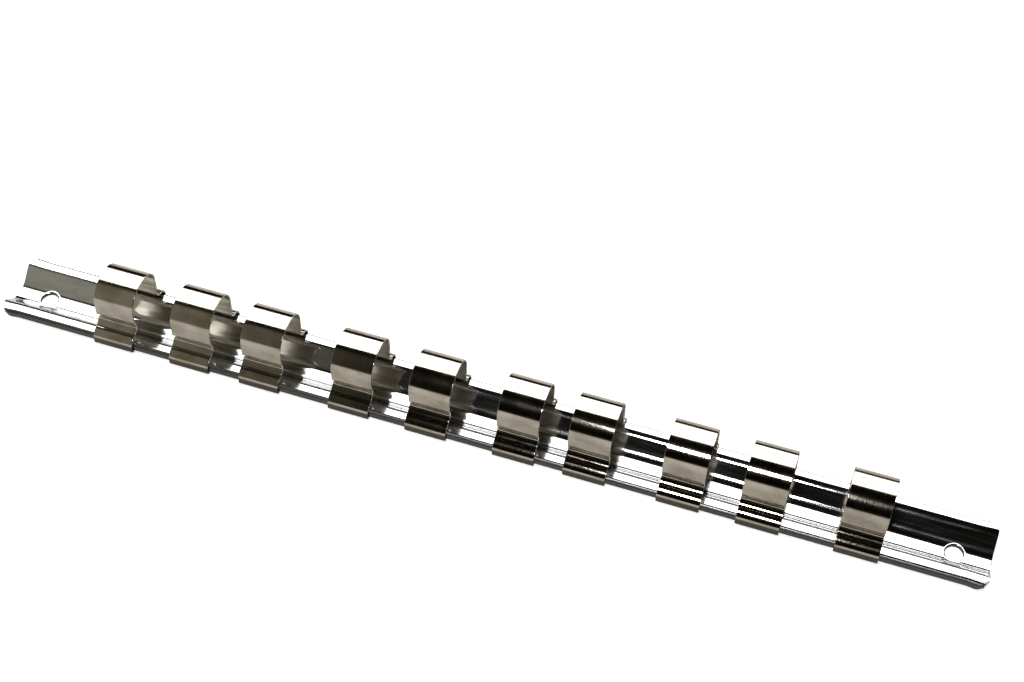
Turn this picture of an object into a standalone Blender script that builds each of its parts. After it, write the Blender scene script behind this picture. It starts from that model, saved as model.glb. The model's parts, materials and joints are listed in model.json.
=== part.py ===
# Socket rail: a cold-formed steel rail with ten spring clips that slide along it.
# X runs along the rail, Y across it, Z up. The origin is on the bench, under the
# middle of the rail. All lengths are in metres.

import math

import bmesh
import bpy

# Driving dimensions of the rail
rail_length = 0.288
rail_half_width = 0.0105
rail_sheet = 0.0010
floor_half_width = 0.00265
rim_width = 0.0035
ridge_height = 0.00435
lip_bottom_height = 0.0022
floor_bend_radius = 0.0040
ridge_bend_radius = 0.0030
lip_bend_radius = 0.0011
rail_corner_radius = 0.0034
flare_length = 0.0060
flare_spread = 0.0003

# Driving dimensions of the screw holes
hole_radius = 0.0026
hole_edge_chamfer = 0.0002
hole_from_end = 0.0100

# Driving dimensions of the spring clip
clip_width = 0.0120
clip_sheet = 0.0005
clip_edge_round = 0.0001
roof_height = 0.0200
wall_half_width = 0.0074
waist_half_width = 0.00675
skirt_flare = 0.00095
shelf_rise = 0.0006
skirt_rise = 0.00165
wall_foot_rise = 0.00215
hook_reach = 0.0026
roof_bend_radius = 0.0062
wall_foot_bend_radius = 0.0015
waist_bend_radius = 0.0008
skirt_bend_radius = 0.0021
knee_bend_radius = 0.0030

# Clearances
running_gap = 0.0003
shelf_clearance = 0.00105
cutter_overrun = 0.0020

# Most of the shelf's width that the bend at its outer edge may take
knee_wall_share = 0.84

# Where each clip starts, as a share of the rail's length from its left end
clip_start_shares = (
    0.106, 0.188, 0.2625, 0.3565, 0.436,
    0.525, 0.5955, 0.6875, 0.764, 0.8575,
)

# How far the end flare has opened at each step towards the rail's end
flare_step_shares = (0.0, 0.25, 0.5, 0.75, 1.0)

bend_step_degrees = 15
hole_segments = 40
corner_segments = 10


def clear_scene():
    for old in list(bpy.data.objects):
        bpy.data.objects.remove(old, do_unlink=True)


def make_material(name, colour, metallic, roughness):
    material = bpy.data.materials.new(name)
    material.use_nodes = True
    shader = material.node_tree.nodes["Principled BSDF"]
    shader.inputs["Base Color"].default_value = colour
    shader.inputs["Metallic"].default_value = metallic
    shader.inputs["Roughness"].default_value = roughness
    return material


def bend_points(before, corner, after, radius):
    """Points and travel directions round one bend of a formed strip."""
    angle_in = math.atan2(corner[1] - before[1], corner[0] - before[0])
    angle_out = math.atan2(after[1] - corner[1], after[0] - corner[0])
    turn = math.remainder(angle_out - angle_in, math.tau)
    setback = radius * math.tan(abs(turn) / 2)
    side = math.copysign(radius, turn)
    start_y = corner[0] - setback * math.cos(angle_in)
    start_z = corner[1] - setback * math.sin(angle_in)
    centre_y = start_y - side * math.sin(angle_in)
    centre_z = start_z + side * math.cos(angle_in)
    points = []
    segments = math.ceil(abs(math.degrees(turn)) / bend_step_degrees)
    for step in range(segments + 1):
        heading = angle_in + turn * step / segments
        point_y = centre_y + side * math.sin(heading)
        point_z = centre_z - side * math.cos(heading)
        points.append((point_y, point_z, heading))
    return points


def strip_outline(corners, radii, thickness):
    """Closed outline of a bent strip whose outer face follows the corners.

    The sheet lies to the right of the line of travel.
    """
    first_heading = math.atan2(corners[1][1] - corners[0][1], corners[1][0] - corners[0][0])
    last_heading = math.atan2(corners[-1][1] - corners[-2][1], corners[-1][0] - corners[-2][0])
    path = [(corners[0][0], corners[0][1], first_heading)]
    for index, radius in enumerate(radii):
        path += bend_points(corners[index], corners[index + 1], corners[index + 2], radius)
    path.append((corners[-1][0], corners[-1][1], last_heading))
    outer = [(y, z) for y, z, heading in path]
    inner = [
        (y + thickness * math.sin(heading), z - thickness * math.cos(heading))
        for y, z, heading in path
    ]
    return outer + inner[::-1]


def mirrored(half_corners):
    """The whole line of corners from its left half."""
    return half_corners + [(-y, z) for y, z in reversed(half_corners)]


def sweep_outlines(name, rings, smooth_angle):
    """Mesh object that joins equal rings of (x, y, z) points and caps both ends."""
    mesh = bpy.data.meshes.new(name)
    shape = bmesh.new()
    loops = [[shape.verts.new(point) for point in ring] for ring in rings]
    count = len(rings[0])
    for near, far in zip(loops, loops[1:]):
        for index in range(count):
            following = (index + 1) % count
            shape.faces.new((near[index], near[following], far[following], far[index]))
    shape.faces.new(loops[0][::-1])
    shape.faces.new(loops[-1])
    bmesh.ops.recalc_face_normals(shape, faces=shape.faces)
    shape.to_mesh(mesh)
    shape.free()
    mesh.shade_smooth()
    mesh.set_sharp_from_angle(angle=math.radians(smooth_angle))
    solid = bpy.data.objects.new(name, mesh)
    bpy.context.scene.collection.objects.link(solid)
    return solid


def hide_cutter(cutter):
    cutter.hide_render = True
    cutter.display_type = "WIRE"


def add_boolean(target, cutter, operation):
    boolean = target.modifiers.new(cutter.name, "BOOLEAN")
    boolean.operation = operation
    boolean.solver = "EXACT"
    boolean.object = cutter


def rail_section():
    ridge_half_width = rail_half_width - rim_width
    half = [
        (-rail_half_width, lip_bottom_height + rail_sheet),
        (-rail_half_width, ridge_height + rail_sheet),
        (-ridge_half_width, ridge_height + rail_sheet),
        (-floor_half_width, rail_sheet),
    ]
    half_radii = [lip_bend_radius, ridge_bend_radius, floor_bend_radius]
    return strip_outline(mirrored(half), half_radii + half_radii[::-1], rail_sheet)


def rail_ring(section, position, opening):
    """The rail's section at one place, with its rims spread by the end flare."""
    formed_width = rail_half_width - floor_half_width
    ring = []
    for y, z in section:
        share = max(abs(y) - floor_half_width, 0.0) / formed_width
        ring.append((position, y + math.copysign(flare_spread * opening * share, y), z))
    return ring


def rail_plan_cutter():
    """Tall block with the rounded plan corners of the rail."""
    half_length = rail_length / 2
    half_width = rail_half_width + flare_spread
    inset_x = half_length - rail_corner_radius
    inset_y = half_width - rail_corner_radius
    outline = []
    for quarter, (side_x, side_y) in enumerate(((1, 1), (-1, 1), (-1, -1), (1, -1))):
        for step in range(corner_segments + 1):
            angle = math.radians(90) * (quarter + step / corner_segments)
            outline.append((
                side_x * inset_x + rail_corner_radius * math.cos(angle),
                side_y * inset_y + rail_corner_radius * math.sin(angle),
            ))
    top = ridge_height + rail_sheet + cutter_overrun
    rings = [[(x, y, z) for x, y in outline] for z in (-cutter_overrun, top)]
    cutter = sweep_outlines("rail_plan_cutter", rings, 30)
    hide_cutter(cutter)
    return cutter


def hole_cutter(name, position):
    """Round cutter that leaves a small chamfer at the top edge of a screw hole."""
    levels = (
        (-cutter_overrun, hole_radius),
        (rail_sheet - hole_edge_chamfer, hole_radius),
        (rail_sheet, hole_radius + hole_edge_chamfer),
        (rail_sheet + cutter_overrun, hole_radius + hole_edge_chamfer),
    )
    rings = []
    for z, radius in levels:
        ring = []
        for step in range(hole_segments):
            angle = math.tau * step / hole_segments
            ring.append((position + radius * math.cos(angle), radius * math.sin(angle), z))
        rings.append(ring)
    cutter = sweep_outlines(name, rings, 30)
    hide_cutter(cutter)
    return cutter


def build_rail(material):
    section = rail_section()
    half_length = rail_length / 2
    stations = []
    for share in reversed(flare_step_shares):
        opening = share * share * (3 - 2 * share)
        stations.append((flare_length * (1 - share) - half_length, opening))
    stations += [(-position, opening) for position, opening in reversed(stations)]
    rings = [rail_ring(section, position, opening) for position, opening in stations]
    rail = sweep_outlines("rail", rings, 35)
    rail.data.materials.append(material)
    add_boolean(rail, rail_plan_cutter(), "INTERSECT")
    hole_position = half_length - hole_from_end
    add_boolean(rail, hole_cutter("left_hole_cutter", -hole_position), "DIFFERENCE")
    add_boolean(rail, hole_cutter("right_hole_cutter", hole_position), "DIFFERENCE")
    return rail


def clip_section():
    """Outline of the spring clip, with heights counted from the rail's floor."""
    knee_half_width = rail_half_width + running_gap + clip_sheet
    skirt_half_width = waist_half_width + skirt_flare
    hook_height = lip_bottom_height - running_gap - clip_sheet
    knee_height = ridge_height + shelf_clearance + clip_sheet
    skirt_height = knee_height + shelf_rise
    waist_height = skirt_height + skirt_rise
    wall_foot_height = waist_height + wall_foot_rise
    shelf_width = knee_half_width - skirt_half_width
    half = [
        (-(knee_half_width - hook_reach), hook_height),
        (-knee_half_width, hook_height),
        (-knee_half_width, knee_height),
        (-skirt_half_width, skirt_height),
        (-waist_half_width, waist_height),
        (-wall_half_width, wall_foot_height),
        (-wall_half_width, roof_height),
    ]
    half_radii = [
        clip_sheet + running_gap,
        min(knee_bend_radius, knee_wall_share * shelf_width),
        skirt_bend_radius,
        waist_bend_radius,
        wall_foot_bend_radius,
        roof_bend_radius,
    ]
    return strip_outline(mirrored(half), half_radii + half_radii[::-1], clip_sheet)


def build_clip_mesh(material):
    section = clip_section()
    rings = [[(x, y, z) for y, z in section] for x in (-clip_width / 2, clip_width / 2)]
    pattern = sweep_outlines("spring_clip", rings, 35)
    mesh = pattern.data
    mesh.materials.append(material)
    bpy.data.objects.remove(pattern, do_unlink=True)
    return mesh


def build_clips(material):
    mesh = build_clip_mesh(material)
    for index, share in enumerate(clip_start_shares):
        clip = bpy.data.objects.new("clip_%02d" % (index + 1), mesh)
        bpy.context.scene.collection.objects.link(clip)
        clip.location.x = rail_length * (share - 0.5) + clip_width / 2
        clip.location.z = rail_sheet
        edge = clip.modifiers.new("tumbled_edges", "BEVEL")
        edge.width = clip_edge_round
        edge.segments = 1
        edge.limit_method = "ANGLE"
        edge.angle_limit = math.radians(60)


clear_scene()
rail_steel = make_material("bright_plated_steel", (0.78, 0.79, 0.80, 1.0), 1.0, 0.12)
clip_steel = make_material("nickel_spring_steel", (0.66, 0.62, 0.55, 1.0), 1.0, 0.22)
build_rail(rail_steel)
build_clips(clip_steel)
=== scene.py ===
import json
import math

import bmesh
import bpy
from mathutils import Matrix, Quaternion, Vector

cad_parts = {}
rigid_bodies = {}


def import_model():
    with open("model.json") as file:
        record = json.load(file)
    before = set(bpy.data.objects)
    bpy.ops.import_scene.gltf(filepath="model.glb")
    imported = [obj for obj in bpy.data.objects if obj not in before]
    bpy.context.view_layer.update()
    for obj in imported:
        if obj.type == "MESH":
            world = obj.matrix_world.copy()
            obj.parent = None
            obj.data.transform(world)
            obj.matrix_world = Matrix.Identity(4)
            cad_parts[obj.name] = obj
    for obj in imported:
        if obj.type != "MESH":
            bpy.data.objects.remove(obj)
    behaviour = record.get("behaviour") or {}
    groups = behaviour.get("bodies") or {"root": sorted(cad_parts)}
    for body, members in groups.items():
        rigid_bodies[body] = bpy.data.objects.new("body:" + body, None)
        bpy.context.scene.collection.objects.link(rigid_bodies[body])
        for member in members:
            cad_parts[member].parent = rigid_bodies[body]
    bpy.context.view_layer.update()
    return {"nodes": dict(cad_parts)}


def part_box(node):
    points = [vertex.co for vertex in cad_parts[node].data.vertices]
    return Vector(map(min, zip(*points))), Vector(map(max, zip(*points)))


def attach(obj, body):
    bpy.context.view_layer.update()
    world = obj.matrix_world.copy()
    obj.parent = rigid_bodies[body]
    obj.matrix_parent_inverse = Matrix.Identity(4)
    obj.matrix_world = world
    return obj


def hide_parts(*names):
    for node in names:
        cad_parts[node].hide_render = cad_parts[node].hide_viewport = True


# Socket rail: ten spring clips on a bright plated rail. Metres, X along the rail, Z up.

for old in list(bpy.data.objects):
    bpy.data.objects.remove(old, do_unlink=True)

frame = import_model()
print("frame loaded:", len(frame["nodes"]), "nodes")

mm = 0.001
railLow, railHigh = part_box("rail")
clipNames = sorted(name for name in frame["nodes"] if name.startswith("clip_"))


# A formed strip is a line of corners with a bend radius at each, offset by the sheet

bendStep = math.radians(4)
bendSupport = 0.04 * mm


def headingOf(start, end):
    return math.atan2(end[1] - start[1], end[0] - start[0])


def bendPath(corners, radii):
    # points (y, z, heading) along the outer face, the sheet lies to the right of travel
    path = []

    def addPoint(y, z, heading):
        # a flat gets a point close to each bend, so its shading stays flat
        if path:
            lastY, lastZ, lastHeading = path[-1]
            away = math.hypot(y - lastY, z - lastZ)
            if away > 4 * bendSupport and abs(heading - lastHeading) < 1e-6:
                stepY, stepZ = bendSupport * math.cos(heading), bendSupport * math.sin(heading)
                path.append((lastY + stepY, lastZ + stepZ, heading))
                path.append((y - stepY, z - stepZ, heading))
        path.append((y, z, heading))

    addPoint(*corners[0], headingOf(corners[0], corners[1]))
    for index, radius in enumerate(radii):
        before, corner, after = corners[index:index + 3]
        inward, outward = headingOf(before, corner), headingOf(corner, after)
        turn = math.remainder(outward - inward, math.tau)
        setback = radius * math.tan(abs(turn) / 2)
        side = math.copysign(radius, turn)
        startY = corner[0] - setback * math.cos(inward)
        startZ = corner[1] - setback * math.sin(inward)
        centreY = startY - side * math.sin(inward)
        centreZ = startZ + side * math.cos(inward)
        steps = max(2, math.ceil(abs(turn) / bendStep))
        for step in range(steps + 1):
            heading = inward + turn * step / steps
            addPoint(centreY + side * math.sin(heading), centreZ - side * math.cos(heading), heading)
    addPoint(*corners[-1], headingOf(corners[-2], corners[-1]))
    return path


def bothSides(half):
    return half + [(-y, z) for y, z in reversed(half)]


def stripRing(path, sheet, inset):
    # closed section of the strip, drawn in by the inset on every side
    ring = []
    last = len(path) - 1
    for depth, order in ((inset, range(len(path))), (sheet - inset, range(last, -1, -1))):
        for index in order:
            y, z, heading = path[index]
            along = inset if index == 0 else -inset if index == last else 0.0
            ring.append((
                y + depth * math.sin(heading) + along * math.cos(heading),
                z - depth * math.cos(heading) + along * math.sin(heading),
            ))
    return ring


def roundedEdge(edge, steps):
    # (distance from the sheared side, inset) over the small round at a strip's side
    stations = []
    for step in range(steps + 1):
        angle = math.radians(90) * step / steps
        stations.append((edge * (1 - math.cos(angle)), edge * (1 - math.sin(angle))))
    stations.append((edge + bendSupport, 0.0))
    return stations


def shadeSmooth(mesh, sharpFrom):
    mesh.shade_smooth()
    mesh.set_sharp_from_angle(angle=math.radians(sharpFrom))


def joinRings(name, rings, sharpFrom):
    mesh = bpy.data.meshes.new(name)
    shape = bmesh.new()
    loops = [[shape.verts.new(point) for point in ring] for ring in rings]
    count = len(rings[0])
    for near, far in zip(loops, loops[1:]):
        for index in range(count):
            after = (index + 1) % count
            shape.faces.new((near[index], near[after], far[after], far[index]))
    shape.faces.new(loops[0][::-1])
    shape.faces.new(loops[-1])
    bmesh.ops.recalc_face_normals(shape, faces=shape.faces)
    shape.to_mesh(mesh)
    shape.free()
    shadeSmooth(mesh, sharpFrom)
    piece = bpy.data.objects.new(name, mesh)
    bpy.context.scene.collection.objects.link(piece)
    return piece


# Spring clip, heights over the rail's floor

clip = {
    "sheet": 0.5 * mm,
    "edgeRound": 0.10 * mm,
    "hookInside": (-8.7 * mm, 1.4 * mm),
    "hookCorner": (-11.3 * mm, 1.4 * mm),
    "knee": (-11.3 * mm, 5.9 * mm),
    "skirt": (-7.7 * mm, 6.5 * mm),
    "waist": (-6.75 * mm, 8.15 * mm),
    "wallFoot": (-7.4 * mm, 10.3 * mm),
    "roofCorner": (-7.4 * mm, 20.0 * mm),
    "corners": ("hookInside", "hookCorner", "knee", "skirt", "waist", "wallFoot", "roofCorner"),
    "bends": [0.8 * mm, 3.0 * mm, 2.1 * mm, 0.8 * mm, 1.5 * mm, 6.2 * mm],
    "edgeSteps": 3,
    "widthSteps": 6,
    "sharpFrom": 50,
}


def clipStations(start, end):
    sides = roundedEdge(clip["edgeRound"], clip["edgeSteps"])
    left = [(start + distance, inset) for distance, inset in sides]
    right = [(end - distance, inset) for distance, inset in reversed(sides)]
    span = clip["widthSteps"]
    inner = [(start + (end - start) * step / span, 0.0) for step in range(1, span)]
    return left + inner + right


def makeClip(name, material):
    low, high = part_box(name)
    floorTop = high.z - clip["roofCorner"][1]
    half = [clip[corner] for corner in clip["corners"]]
    path = bendPath(bothSides(half), clip["bends"] + clip["bends"][::-1])
    rings = []
    for x, inset in clipStations(low.x, high.x):
        rings.append([(x, y, z + floorTop) for y, z in stripRing(path, clip["sheet"], inset)])
    piece = joinRings(name.replace("clip", "spring_clip"), rings, clip["sharpFrom"])
    # each ring runs along the outer face first, then back along the inner one
    inside = piece.data.attributes.new("inside", "FLOAT", "POINT")
    for index in range(len(piece.data.vertices)):
        inside.data[index].value = float(index % (2 * len(path)) >= len(path))
    piece.data.materials.append(material)
    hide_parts(name)
    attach(piece, name)
    return piece


# Rail, heights over its floor

rail = {
    "sheet": 1.0 * mm,
    "lipBottom": (-10.5 * mm, 2.2 * mm),
    "lipTop": (-10.5 * mm, 4.35 * mm),
    "ridge": (-7.0 * mm, 4.35 * mm),
    "floorEdge": (-2.65 * mm, 0.0),
    "corners": ("lipBottom", "lipTop", "ridge", "floorEdge"),
    "bends": [1.1 * mm, 3.0 * mm, 4.0 * mm],
    "edgeRound": 0.10 * mm,
    "cornerRadius": 3.4 * mm,
    "flareLength": 6.0 * mm,
    "flareSpread": 0.3 * mm,
    "holeRadius": 2.6 * mm,
    "holeFromEnd": 10.0 * mm,
    "holeSides": 64,
    "edgeSteps": 5,
    "endStations": 14,
    "middleStations": 60,
    "sharpFrom": 22,
}


def railEnd(y, halfLength):
    # how far along X the rail reaches at this distance from its middle line
    halfWidth = rail["flareSpread"] - rail["lipTop"][0]
    radius = rail["cornerRadius"]
    past = min(max(abs(y) - (halfWidth - radius), 0.0), radius)
    return halfLength - radius + math.sqrt(radius ** 2 - past ** 2)


def makeRail(material):
    half = [rail[corner] for corner in rail["corners"]]
    path = bendPath(bothSides(half), rail["bends"] + rail["bends"][::-1])
    centreX = (railHigh.x + railLow.x) / 2
    halfLength = (railHigh.x - railLow.x) / 2
    sheet = rail["sheet"]
    floorHalf = -rail["floorEdge"][0]
    formed = -rail["lipTop"][0] - floorHalf
    zone = rail["cornerRadius"] + rail["flareLength"]

    def endRing(side, distance, inset):
        # the rims spread towards the end, and the plan corners take the ring's ends back
        opening = max(0.0, 1 - distance / rail["flareLength"])
        opening = opening * opening * (3 - 2 * opening)
        ring = []
        for y, z in stripRing(path, sheet, inset):
            share = max(abs(y) - floorHalf, 0.0) / formed
            spreadY = y + math.copysign(rail["flareSpread"] * opening * share, y)
            cutBack = (halfLength - railEnd(spreadY, halfLength)) * (1 - distance / zone)
            ring.append((centreX + side * (halfLength - distance - cutBack), spreadY, z + sheet))
        return ring

    stations = roundedEdge(rail["edgeRound"], rail["edgeSteps"])
    start = 2 * rail["edgeRound"]
    for step in range(1, rail["endStations"]):
        stations.append((start + (zone - start) * step / rail["endStations"], 0.0))

    rings = [endRing(-1, distance, inset) for distance, inset in stations]
    straight = stripRing(path, sheet, 0.0)
    for step in range(rail["middleStations"] + 1):
        x = centreX - halfLength + zone + 2 * (halfLength - zone) * step / rail["middleStations"]
        rings.append([(x, y, z + sheet) for y, z in straight])
    rings += [endRing(1, distance, inset) for distance, inset in reversed(stations)]

    piece = joinRings("plated_rail", rings, rail["sharpFrom"])
    piece.data.materials.append(material)
    for side in (-1, 1):
        cutHole(piece, centreX + side * (halfLength - rail["holeFromEnd"]))
    shadeSmooth(piece.data, rail["sharpFrom"])
    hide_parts("rail")
    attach(piece, "rail")
    return piece


def cutHole(piece, x):
    radius, sides = rail["holeRadius"], rail["holeSides"]
    rings = []
    for z in (-2 * rail["sheet"], 4 * rail["sheet"]):  # well past both faces of the trough
        ring = []
        for step in range(sides):
            angle = math.tau * step / sides
            ring.append((x + radius * math.cos(angle), radius * math.sin(angle), z))
        rings.append(ring)
    cutter = joinRings("hole cutter", rings, rail["sharpFrom"])
    boolean = piece.modifiers.new("hole", "BOOLEAN")
    boolean.operation = "DIFFERENCE"
    boolean.solver = "EXACT"
    boolean.object = cutter
    bpy.context.view_layer.update()
    cut = piece.evaluated_get(bpy.context.evaluated_depsgraph_get())
    piece.data = bpy.data.meshes.new_from_object(cut)
    piece.modifiers.clear()
    bpy.data.objects.remove(cutter, do_unlink=True)


# Node helpers

def newMaterial(name):
    material = bpy.data.materials.new(name)
    material.use_nodes = True
    tree = material.node_tree
    tree.nodes.clear()
    output = tree.nodes.new("ShaderNodeOutputMaterial")
    return material, tree, output.inputs["Surface"]


def newMetal(name):
    material, tree, surface = newMaterial(name)
    shader = tree.nodes.new("ShaderNodeBsdfPrincipled")
    shader.inputs["Metallic"].default_value = 1.0
    tree.links.new(shader.outputs["BSDF"], surface)
    return material, tree, shader


def addNode(tree, kind, links=None, **settings):
    node = tree.nodes.new(kind)
    for key, value in settings.items():
        setattr(node, key, value)
    for socket, source in (links or {}).items():
        if hasattr(source, "is_output"):
            tree.links.new(source, node.inputs[socket])
        else:
            node.inputs[socket].default_value = source
    return node


def partSpace(tree):
    # the piece's own coordinates, so the finish travels with a sliding clip
    return addNode(tree, "ShaderNodeTexCoord").outputs["Object"]


def xyzOf(tree, vector):
    return addNode(tree, "ShaderNodeSeparateXYZ", {0: vector}).outputs


def facingOf(tree):
    # which way the surface faces, as shares of X, Y and Z
    return xyzOf(tree, addNode(tree, "ShaderNodeNewGeometry").outputs["Normal"])


def noiseOn(tree, place, perMm, detail=2.0, roughness=0.5, distortion=0.0):
    # perMm says how many lumps there are in a millimetre along X, Y and Z
    perMetre = [count / mm for count in perMm]
    scaled = addNode(tree, "ShaderNodeMapping", {"Vector": place, "Scale": perMetre})
    noise = addNode(tree, "ShaderNodeTexNoise", {
        "Vector": scaled.outputs["Vector"], "Scale": 1.0, "Detail": detail,
        "Roughness": roughness, "Distortion": distortion,
    })
    return noise.outputs["Fac"]


def rangeOf(tree, value, reach, result=(0.0, 1.0)):
    # eases from the first result to the second while the value goes through the reach
    node = addNode(tree, "ShaderNodeMapRange", {
        "Value": value, "From Min": reach[0], "From Max": reach[1],
        "To Min": result[0], "To Max": result[1],
    }, interpolation_type="SMOOTHSTEP")
    return node.outputs["Result"]


def mathOn(tree, operation, first, second=0.0):
    return addNode(tree, "ShaderNodeMath", {0: first, 1: second}, operation=operation).outputs[0]


def vectorOn(tree, operation, links):
    return addNode(tree, "ShaderNodeVectorMath", links, operation=operation).outputs


def mixValue(tree, share, first, second):
    return addNode(tree, "ShaderNodeMix", {0: share, 2: first, 3: second}).outputs[0]


def mixNormal(tree, share, first, second):
    node = addNode(tree, "ShaderNodeMix", {0: share, 4: first, 5: second}, data_type="VECTOR")
    return node.outputs[1]


def mixColour(tree, share, first, second):
    node = addNode(tree, "ShaderNodeMix", {0: share, 6: first, 7: second}, data_type="RGBA")
    return node.outputs[2]


def bumpOn(tree, height, depth, under=None):
    links = {"Height": height, "Distance": depth, "Strength": 1.0}
    if under is not None:
        links["Normal"] = under
    return addNode(tree, "ShaderNodeBump", links).outputs["Normal"]


paintedShadeRaggedness = 0.8


def lowPaintedShade(tree, height, ragged, reach):
    # painted shade low on a part: full below the first height, gone above the second
    spread = paintedShadeRaggedness * (reach[1] - reach[0])
    uneven = mathOn(tree, "ADD", height, mathOn(tree, "MULTIPLY", ragged, spread))
    return rangeOf(tree, uneven, (reach[0] + spread / 2, reach[1] + spread / 2), (1.0, 0.0))


# Spring steel of the clips: nickel over a brushed strip, with marks that go round the bends

clipFinish = {
    "colour": (0.44, 0.40, 0.335, 1.0),
    "darkColour": (0.33, 0.295, 0.235, 1.0),
    "edgeColour": (0.30, 0.29, 0.26, 1.0),
    "brushPerMm": (9.0, 0.25, 0.25),
    "brushDepth": 0.0011 * mm,
    "streakPerMm": (1.7, 0.12, 0.12),
    "streakDepth": 0.0035 * mm,
    "wavePerMm": (0.11, 0.13, 0.13),
    "waveDepth": 0.012 * mm,
    "tearPerMm": (1.0, 5.0, 5.0),
    "edgeDepth": 0.012 * mm,
    "cloudPerMm": (0.16, 0.2, 0.2),
    "stained": (0.38, 0.66),
    "speckPerMm": (3.0, 3.0, 3.0),
    "flecked": (0.66, 0.80),
    "fleckShare": 0.35,
    "worn": (0.35, 0.65),
    "brushShare": 0.6,
    "roughness": (0.06, 0.14),
    "insideRoughness": 0.30,
    "edgeRoughness": 0.42,
    "shearedFacing": (0.55, 0.85),
    "footShadeColour": (0.075, 0.07, 0.06, 1.0),
    "footShadeHeights": (4.8 * mm, 5.4 * mm),
}


def makeClipSteel():
    material, tree, shader = newMetal("clip spring steel")
    place = partSpace(tree)
    brush = noiseOn(tree, place, clipFinish["brushPerMm"], detail=3.0, roughness=0.6)
    streak = noiseOn(tree, place, clipFinish["streakPerMm"], detail=2.0)
    cloud = noiseOn(tree, place, clipFinish["cloudPerMm"], detail=3.0)
    speck = noiseOn(tree, place, clipFinish["speckPerMm"], detail=1.0)
    wave = noiseOn(tree, place, clipFinish["wavePerMm"], detail=1.0)
    tear = noiseOn(tree, place, clipFinish["tearPerMm"], detail=4.0, roughness=0.7)

    # the sheared sides of the strip face along X
    sideways = mathOn(tree, "ABSOLUTE", facingOf(tree)["X"])
    sheared = rangeOf(tree, sideways, clipFinish["shearedFacing"])
    inside = addNode(tree, "ShaderNodeAttribute", attribute_name="inside").outputs["Fac"]

    stain = rangeOf(tree, cloud, clipFinish["stained"])
    fleck = rangeOf(tree, speck, clipFinish["flecked"], (0.0, clipFinish["fleckShare"]))
    # painted shade: the clip feet are darkened low down, standing in for the shadowed floor they
    # reflect
    paintedFootShade = lowPaintedShade(tree, xyzOf(tree, place)["Z"], cloud, clipFinish["footShadeHeights"])
    colour = mixColour(tree, stain, clipFinish["colour"], clipFinish["darkColour"])
    colour = mixColour(tree, fleck, colour, clipFinish["edgeColour"])
    colour = mixColour(tree, sheared, colour, clipFinish["edgeColour"])
    colour = mixColour(tree, paintedFootShade, colour, clipFinish["footShadeColour"])
    tree.links.new(colour, shader.inputs["Base Color"])

    wear = mixValue(tree, clipFinish["brushShare"], cloud, brush)
    rough = rangeOf(tree, wear, clipFinish["worn"], clipFinish["roughness"])
    rough = mixValue(tree, inside, rough, clipFinish["insideRoughness"])
    rough = mixValue(tree, sheared, rough, clipFinish["edgeRoughness"])
    tree.links.new(rough, shader.inputs["Roughness"])

    normal = bumpOn(tree, wave, clipFinish["waveDepth"])
    normal = bumpOn(tree, streak, clipFinish["streakDepth"], normal)
    normal = bumpOn(tree, brush, clipFinish["brushDepth"], normal)
    normal = bumpOn(tree, mathOn(tree, "MULTIPLY", tear, sheared), clipFinish["edgeDepth"], normal)
    tree.links.new(normal, shader.inputs["Normal"])
    return material


# Plating of the rail: bright, with long roll lines, faint ripples and small pits

railFinish = {
    "colour": (0.66, 0.67, 0.67, 1.0),
    "filmColour": (0.56, 0.57, 0.56, 1.0),
    "cutColour": (0.40, 0.40, 0.38, 1.0),
    "rollPerMm": (0.05, 5.0, 5.0),
    "rollDepth": 0.00015 * mm,
    "ripplePerMm": (0.035, 0.16, 0.16),
    "rippleDepth": 0.012 * mm,
    "pitPerMm": (1.6, 1.6, 1.6),
    "pitted": (0.72, 0.82),
    "pitDepth": 0.0015 * mm,
    "pitShare": 0.5,
    "filmPerMm": (0.05, 0.25, 0.25),
    "smeared": (0.42, 0.62),
    "worn": (0.38, 0.66),
    "rollShare": 0.5,
    "roughness": (0.07, 0.15),
    "cutRoughness": 0.35,
    "cutFacing": (0.35, 0.75),
    "paintedLipShade": (0.10, 0.10, 0.10, 1.0),
    "lipRoughness": 0.42,
    "lipShadeHeights": (5.16 * mm, 5.31 * mm),
    "lipShadePast": (9.4 * mm, 9.8 * mm),
    "paintedHoleShade": (0.10, 0.10, 0.10, 1.0),
    "wallFacing": (0.15, 0.35),
    "wallWithin": (3.0 * mm, 3.4 * mm),
    "brokenEdge": (0.18 * mm, 0.28 * mm),
    "brokenSlope": 0.8,
    "coinedRing": (0.40 * mm, 0.55 * mm),
    "coinedFacing": (0.35, 0.55),
}


def coinedRing(tree, place, upward):
    # the punch leaves a narrow level ring round each screw hole, with a broken edge inside it
    along, across = xyzOf(tree, place)[:2]
    holeX = railHigh.x - rail["holeFromEnd"]
    outward = mathOn(tree, "SUBTRACT", mathOn(tree, "ABSOLUTE", along), holeX)
    outward = mathOn(tree, "MULTIPLY", outward, mathOn(tree, "SIGN", along))
    fromHole = addNode(tree, "ShaderNodeCombineXYZ", {0: outward, 1: across}).outputs[0]
    away = vectorOn(tree, "LENGTH", {0: fromHole})["Value"]
    pastEdge = mathOn(tree, "SUBTRACT", away, rail["holeRadius"])

    slope = rangeOf(tree, pastEdge, railFinish["brokenEdge"], (-railFinish["brokenSlope"], 0.0))
    inward = mathOn(tree, "DIVIDE", slope, away)
    lean = vectorOn(tree, "SCALE", {0: fromHole, "Scale": inward})[0]
    steep = vectorOn(tree, "ADD", {0: lean, 1: (0.0, 0.0, 1.0)})[0]
    normal = vectorOn(tree, "NORMALIZE", {0: steep})[0]

    onRing = rangeOf(tree, pastEdge, railFinish["coinedRing"], (1.0, 0.0))
    onTop = rangeOf(tree, upward, railFinish["coinedFacing"])
    return mathOn(tree, "MULTIPLY", onRing, onTop), normal


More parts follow.
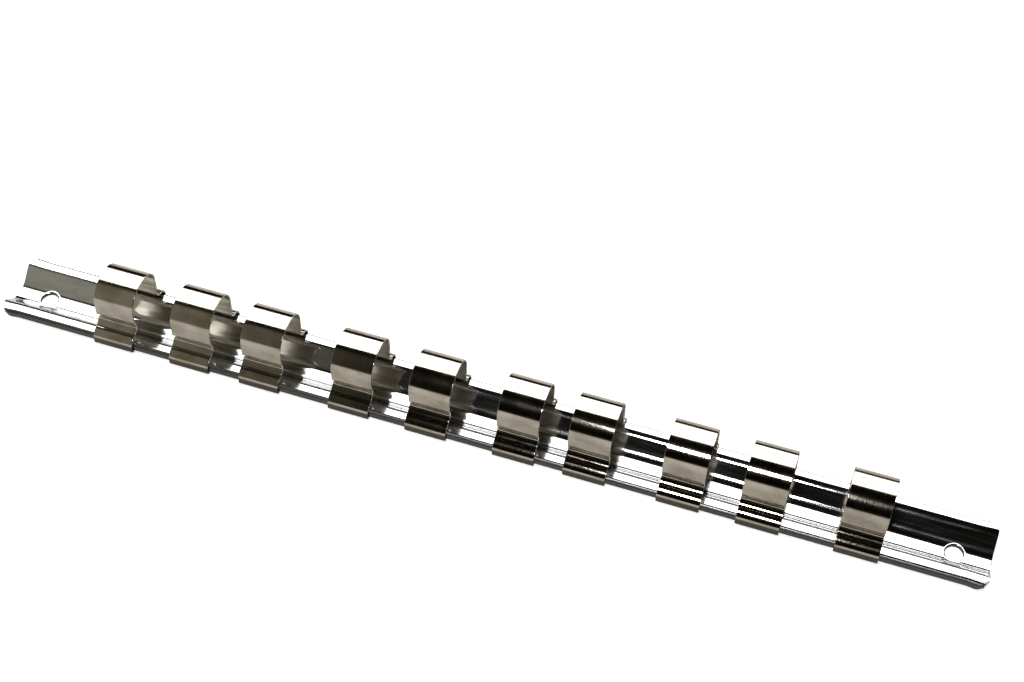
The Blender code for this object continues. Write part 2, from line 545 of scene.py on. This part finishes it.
def makeRailPlating():
    material, tree, shader = newMetal("rail bright plating")
    place = partSpace(tree)
    roll = noiseOn(tree, place, railFinish["rollPerMm"], detail=3.0, roughness=0.6)
    ripple = noiseOn(tree, place, railFinish["ripplePerMm"], detail=1.0)
    smear = noiseOn(tree, place, railFinish["filmPerMm"], detail=4.0, roughness=0.6, distortion=0.6)
    pit = noiseOn(tree, place, railFinish["pitPerMm"], detail=0.0)

    # the sheared ends face along X, the walls of the screw holes are upright
    facing, parts = facingOf(tree), xyzOf(tree, place)
    cutEnd = rangeOf(tree, mathOn(tree, "ABSOLUTE", facing["X"]), railFinish["cutFacing"])
    level = mathOn(tree, "ABSOLUTE", facing["Z"])
    # painted shade: the upright walls of the screw holes are painted dark
    upright = rangeOf(tree, level, railFinish["wallFacing"], (1.0, 0.0))
    aside = mathOn(tree, "ABSOLUTE", parts["Y"])
    nearHole = rangeOf(tree, aside, railFinish["wallWithin"], (1.0, 0.0))
    paintedHoleShade = mathOn(tree, "MULTIPLY", upright, nearHole)
    # painted shade: the front lip is darkened low down, standing in for the shadowed floor it reflects,
    # and made rougher there
    towardsFront = mathOn(tree, "MULTIPLY", parts["Y"], -1.0)
    onLip = rangeOf(tree, towardsFront, railFinish["lipShadePast"])
    lowOnIt = lowPaintedShade(tree, parts["Z"], smear, railFinish["lipShadeHeights"])
    paintedLipShade = mathOn(tree, "MULTIPLY", onLip, lowOnIt)
    pits = rangeOf(tree, pit, railFinish["pitted"])
    pitShare = mathOn(tree, "MULTIPLY", pits, railFinish["pitShare"])

    smeared = rangeOf(tree, smear, railFinish["smeared"])
    colour = mixColour(tree, smeared, railFinish["colour"], railFinish["filmColour"])
    colour = mixColour(tree, pitShare, colour, railFinish["cutColour"])
    colour = mixColour(tree, cutEnd, colour, railFinish["cutColour"])
    colour = mixColour(tree, paintedHoleShade, colour, railFinish["paintedHoleShade"])
    colour = mixColour(tree, paintedLipShade, colour, railFinish["paintedLipShade"])
    tree.links.new(colour, shader.inputs["Base Color"])

    wear = mixValue(tree, railFinish["rollShare"], smear, roll)
    rough = rangeOf(tree, wear, railFinish["worn"], railFinish["roughness"])
    rough = mixValue(tree, paintedLipShade, rough, railFinish["lipRoughness"])
    rough = mixValue(tree, cutEnd, rough, railFinish["cutRoughness"])
    tree.links.new(rough, shader.inputs["Roughness"])

    normal = bumpOn(tree, ripple, railFinish["rippleDepth"])
    normal = bumpOn(tree, roll, railFinish["rollDepth"], normal)
    normal = bumpOn(tree, pits, -railFinish["pitDepth"], normal)
    coined, coinedNormal = coinedRing(tree, place, facing["Z"])
    tree.links.new(mixNormal(tree, coined, normal, coinedNormal), shader.inputs["Normal"])
    return material


makeRail(makeRailPlating())
print("rail made")
clipSteel = makeClipSteel()
for clipName in clipNames:
    makeClip(clipName, clipSteel)
print("clips made:", len(clipNames))


# Pale floor: it keeps the shadow and the camera sees it near white. In a band beside the rail it glows
# for the metal with painted light that fills the rail's shadow there

floor = {
    "radius": 4.0,
    "underRail": 0.05 * mm,
    "colour": (0.80, 0.79, 0.77, 1.0),
    "grainColour": (0.76, 0.75, 0.73, 1.0),
    "grainPerMm": (0.9, 0.9, 0.9),
    "cameraLift": 0.85,
    "paintedShadowFill": 0.20,
    "shadeFrom": (11 * mm, 13 * mm),
    "shadeTo": (14 * mm, 22 * mm),
}


def makeFloor():
    mesh = bpy.data.meshes.new("floor")
    shape = bmesh.new()
    bmesh.ops.create_circle(shape, cap_ends=True, segments=96, radius=floor["radius"])
    shape.to_mesh(mesh)
    shape.free()
    ground = bpy.data.objects.new("floor", mesh)
    bpy.context.scene.collection.objects.link(ground)
    ground.location.z = railLow.z - floor["underRail"]

    material, tree, surface = newMaterial("pale floor")
    place = partSpace(tree)
    grain = noiseOn(tree, place, floor["grainPerMm"], detail=3.0)
    colour = mixColour(tree, grain, floor["colour"], floor["grainColour"])
    matt = addNode(tree, "ShaderNodeBsdfDiffuse", {"Color": colour})

    # painted light: a glow seen only by reflections, in a band beside the rail, filling the rail's
    # shadow
    aside = mathOn(tree, "ABSOLUTE", xyzOf(tree, place)["Y"])
    pastRail = rangeOf(tree, aside, floor["shadeFrom"])
    closeBy = rangeOf(tree, aside, floor["shadeTo"], (1.0, 0.0))
    inFilledShadow = mathOn(tree, "MULTIPLY", pastRail, closeBy)
    ray = addNode(tree, "ShaderNodeLightPath").outputs
    metalRay = mathOn(tree, "MAXIMUM", ray["Is Glossy Ray"], ray["Is Transmission Ray"])
    forMetal = mathOn(tree, "MULTIPLY", metalRay, mathOn(tree, "MULTIPLY", inFilledShadow, floor["paintedShadowFill"]))
    forCamera = mathOn(tree, "MULTIPLY", ray["Is Camera Ray"], floor["cameraLift"])
    lift = mathOn(tree, "ADD", forCamera, forMetal)
    glow = addNode(tree, "ShaderNodeEmission", {"Color": floor["colour"], "Strength": lift})
    both = addNode(tree, "ShaderNodeAddShader", {0: matt.outputs[0], 1: glow.outputs[0]})
    tree.links.new(both.outputs[0], surface)
    mesh.materials.append(material)


makeFloor()
print("floor made")


# Studio: a large soft light behind and above, a small one beside the camera, and a dark room
# that is dimly lit at the left and pale along the far horizon

studio = {
    "softDirection": (-0.18, 0.67, 0.72),
    "softDistance": 0.95,
    "softSize": (1.4, 0.62),
    "softTurn": 13.0,
    "softRadiance": 4.3,
    "spotPlace": (0.040, -0.262, 0.423),
    "spotSize": (0.09, 0.12),
    "spotRadiance": 40.0,
    "roomColour": (0.0038, 0.0030, 0.0022, 1.0),
    "leftColour": (0.31, 0.295, 0.235, 1.0),
    "leftFrom": (0.22, 0.40),
    "nearFrom": (-0.1, 0.3),
    "horizonColour": (0.75, 0.73, 0.69, 1.0),
    "horizonTo": (0.03, 0.10),
    "behindFrom": (-0.2, 0.3),
    "nearHorizon": 0.12,
    "backdropColour": (1.0, 1.0, 1.0, 1.0),
}


def addLamp(name, place, sizes, radiance, turn=0.0):
    # a lamp that looks at the rail's middle
    lamp = bpy.data.lights.new(name, "AREA")
    lamp.shape = "RECTANGLE"
    lamp.size, lamp.size_y = sizes
    lamp.energy = radiance * math.pi * sizes[0] * sizes[1]
    holder = bpy.data.objects.new(name, lamp)
    bpy.context.scene.collection.objects.link(holder)
    holder.location = place
    aim = Vector(place).to_track_quat("Z", "Y")
    holder.rotation_euler = (aim @ Quaternion((0, 0, 1), math.radians(turn))).to_euler()
    holder.visible_camera = False


def makeWorld():
    world = bpy.data.worlds.new("studio room")
    bpy.context.scene.world = world
    world.use_nodes = True
    tree = world.node_tree
    tree.nodes.clear()
    towards = xyzOf(tree, addNode(tree, "ShaderNodeTexCoord").outputs["Generated"])
    left = rangeOf(tree, mathOn(tree, "MULTIPLY", towards["X"], -1.0), studio["leftFrom"])
    near = rangeOf(tree, mathOn(tree, "MULTIPLY", towards["Y"], -1.0), studio["nearFrom"])
    nearLeft = mathOn(tree, "MULTIPLY", left, near)
    horizon = rangeOf(tree, towards["Z"], studio["horizonTo"], (1.0, 0.0))
    behind = rangeOf(tree, towards["Y"], studio["behindFrom"], (studio["nearHorizon"], 1.0))
    farHorizon = mathOn(tree, "MULTIPLY", horizon, behind)
    colour = mixColour(tree, nearLeft, studio["roomColour"], studio["leftColour"])
    colour = mixColour(tree, farHorizon, colour, studio["horizonColour"])
    cameraRay = addNode(tree, "ShaderNodeLightPath").outputs["Is Camera Ray"]
    colour = mixColour(tree, cameraRay, colour, studio["backdropColour"])
    background = addNode(tree, "ShaderNodeBackground", {"Color": colour, "Strength": 1.0})
    addNode(tree, "ShaderNodeOutputWorld", {"Surface": background.outputs[0]})


softPlace = Vector(studio["softDirection"]).normalized() * studio["softDistance"]
addLamp("soft light", softPlace, studio["softSize"], studio["softRadiance"], studio["softTurn"])
addLamp("camera light", studio["spotPlace"], studio["spotSize"], studio["spotRadiance"])
makeWorld()
print("studio lit")


# Camera, solved from the photograph

cameraSettings = {
    "azimuth": 16.89,
    "elevation": 50.91,
    "roll": 1.89,
    "target": (-0.82 * mm, 31.07 * mm, 0.0),
    "distance": 524.2 * mm,
    "focalPixels": 1795.8,
    "imageWidth": 1024,
    "sensorWidth": 36.0,
    "nearest": 10 * mm,
}


def makeCamera():
    azimuth = math.radians(cameraSettings["azimuth"])
    elevation = math.radians(cameraSettings["elevation"])
    level = math.cos(elevation)
    back = Vector((math.sin(azimuth) * level, -math.cos(azimuth) * level, math.sin(elevation)))
    right = Vector((0, 0, 1)).cross(back).normalized()
    up = back.cross(right)
    turn = math.radians(cameraSettings["roll"])
    across = math.cos(turn) * right + math.sin(turn) * up
    upright = math.cos(turn) * up - math.sin(turn) * right
    sensor = cameraSettings["sensorWidth"]
    camera = bpy.data.cameras.new("camera")
    camera.sensor_width = sensor
    camera.lens = cameraSettings["focalPixels"] / cameraSettings["imageWidth"] * sensor
    camera.clip_start = cameraSettings["nearest"]
    holder = bpy.data.objects.new("camera", camera)
    bpy.context.scene.collection.objects.link(holder)
    pose = Matrix((across, upright, back)).transposed().to_4x4()
    pose.translation = Vector(cameraSettings["target"]) + back * cameraSettings["distance"]
    holder.matrix_world = pose
    bpy.context.scene.camera = holder


makeCamera()
bpy.context.scene.view_settings.view_transform = "Standard"
print("camera placed")
